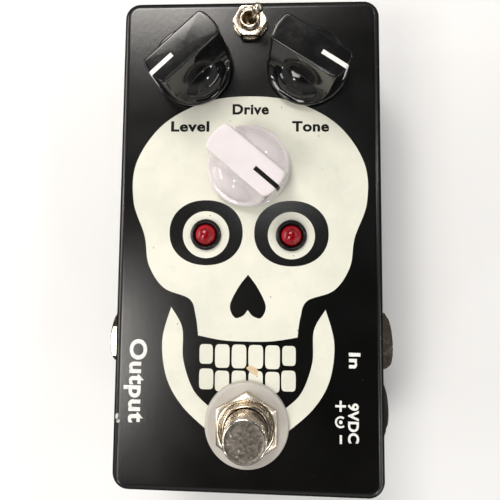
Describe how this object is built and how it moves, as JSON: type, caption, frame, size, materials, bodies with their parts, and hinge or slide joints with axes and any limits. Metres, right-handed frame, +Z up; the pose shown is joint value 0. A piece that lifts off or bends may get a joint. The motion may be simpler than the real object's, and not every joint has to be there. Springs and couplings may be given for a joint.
{
  "type": "guitar effects pedal",
  "caption": "Small die-cast effects pedal with control knobs, a toggle, indicator lights, a footswitch, a jack on each side and a power socket",
  "frame": {"origin": "middle of the footprint at the underside of the rubber feet", "axes": "+X to the right towards the input jack, +Y away from the footswitch towards the knobs, +Z up through the control face"},
  "size_m": [0.0734, 0.121, 0.0575],
  "materials": {
    "black_paint": "semi-gloss black powder coat, lightly worn",
    "black_knob": "glossy moulded black plastic",
    "white_knob": "slightly pink white moulded plastic",
    "bezel_black": "black plastic LED holder",
    "led_red": "clear deep red epoxy lens",
    "nickel": "bright nickel plate with a warm tinge",
    "worn_steel": "worn nickel-plated plunger",
    "zinc_steel": "zinc-plated steel",
    "shaft_aluminium": "turned aluminium",
    "brass": "plain brass",
    "nylon": "greyish translucent nylon",
    "foot_rubber": "black rubber",
    "board_green": "green solder mask",
    "resistor_beige": "lacquered resistor body",
    "capacitor_red": "dipped film capacitor",
    "component_black": "black moulded plastic",
    "switch_red": "red phenolic switch body",
    "switch_blue": "blue switch body",
    "wire_blue": "insulated hookup wire"
  },
  "bodies": {
    "enclosure": {"enclosure_shell": "black_paint", "base_plate": "black_paint", "base_screws": "zinc_steel", "rubber_feet": "foot_rubber", "circuit_board": "board_green", "resistors": "resistor_beige", "capacitors": "capacitor_red", "transistors": "component_black", "level_pot": "zinc_steel", "drive_pot": "zinc_steel", "tone_pot": "zinc_steel", "pot_washers": "zinc_steel", "pot_nuts": "nickel", "led_bezels": "bezel_black", "led_lenses": "led_red", "led_leads": "zinc_steel", "toggle_body": "switch_red", "toggle_bushing": "nickel", "toggle_washer": "nickel", "toggle_nut": "nickel", "toggle_terminals": "brass", "footswitch_body": "switch_blue", "footswitch_bushing": "nickel", "footswitch_washer": "nylon", "footswitch_nut": "nickel", "footswitch_lock_washer": "zinc_steel", "footswitch_lower_nut": "nickel", "footswitch_spring": "zinc_steel", "footswitch_terminals": "brass", "input_jack_frame": "zinc_steel", "input_jack_bushing": "nickel", "input_jack_washer": "nickel", "input_jack_nut": "nickel", "input_jack_tip": "brass", "output_jack_frame": "zinc_steel", "output_jack_bushing": "nickel", "output_jack_washer": "nickel", "output_jack_nut": "nickel", "output_jack_tip": "brass", "dc_jack_body": "component_black", "dc_jack_nut": "component_black", "dc_jack_pin": "nickel", "hookup_wires": "wire_blue"},
    "level_control": {"level_knob": "black_knob", "level_insert": "brass", "level_set_screw": "zinc_steel", "level_shaft": "shaft_aluminium"},
    "drive_control": {"drive_knob": "white_knob", "drive_insert": "brass", "drive_set_screw": "zinc_steel", "drive_shaft": "shaft_aluminium"},
    "tone_control": {"tone_knob": "black_knob", "tone_insert": "brass", "tone_set_screw": "zinc_steel", "tone_shaft": "shaft_aluminium"},
    "toggle_arm": {"toggle_lever": "nickel"},
    "toggle_contact": {"toggle_rocker": "brass"},
    "footswitch_button": {"footswitch_plunger": "worn_steel"}
  },
  "joints": [
    {"name": "level_turn", "type": "hinge", "parent": "enclosure", "child": "level_control", "pos_m": [-0.0142, 0.0425, 0.0413], "axis": [0, 0, 1], "range_deg": [-283, 17]},
    {"name": "drive_turn", "type": "hinge", "parent": "enclosure", "child": "drive_control", "pos_m": [0, 0.0176, 0.0413], "axis": [0, 0, 1], "range_deg": [-20, 280]},
    {"name": "tone_turn", "type": "hinge", "parent": "enclosure", "child": "tone_control", "pos_m": [0.0142, 0.0425, 0.0413], "axis": [0, 0, 1], "range_deg": [-27, 273]},
    {"name": "toggle_flip", "type": "hinge", "parent": "enclosure", "child": "toggle_arm", "pos_m": [0, 0.0538, 0.0418], "axis": [0, 1, 0], "range_deg": [-28, 0]},
    {"name": "toggle_contact_tilt", "type": "hinge", "parent": "enclosure", "child": "toggle_contact", "pos_m": [0, 0.0538, 0.0359], "axis": [0, 1, 0], "range_deg": [0, 16]},
    {"name": "footswitch_press", "type": "slide", "parent": "enclosure", "child": "footswitch_button", "axis": [0, 0, -1], "range_m": [0, 0.003], "stiffness_N_per_m": 2500, "springref_m": -0.002, "deforming": ["footswitch_spring"]}
  ],
  "couplings": [
    {"joint": "toggle_contact_tilt", "follows": "toggle_flip", "ratio": -0.57}
  ]
}
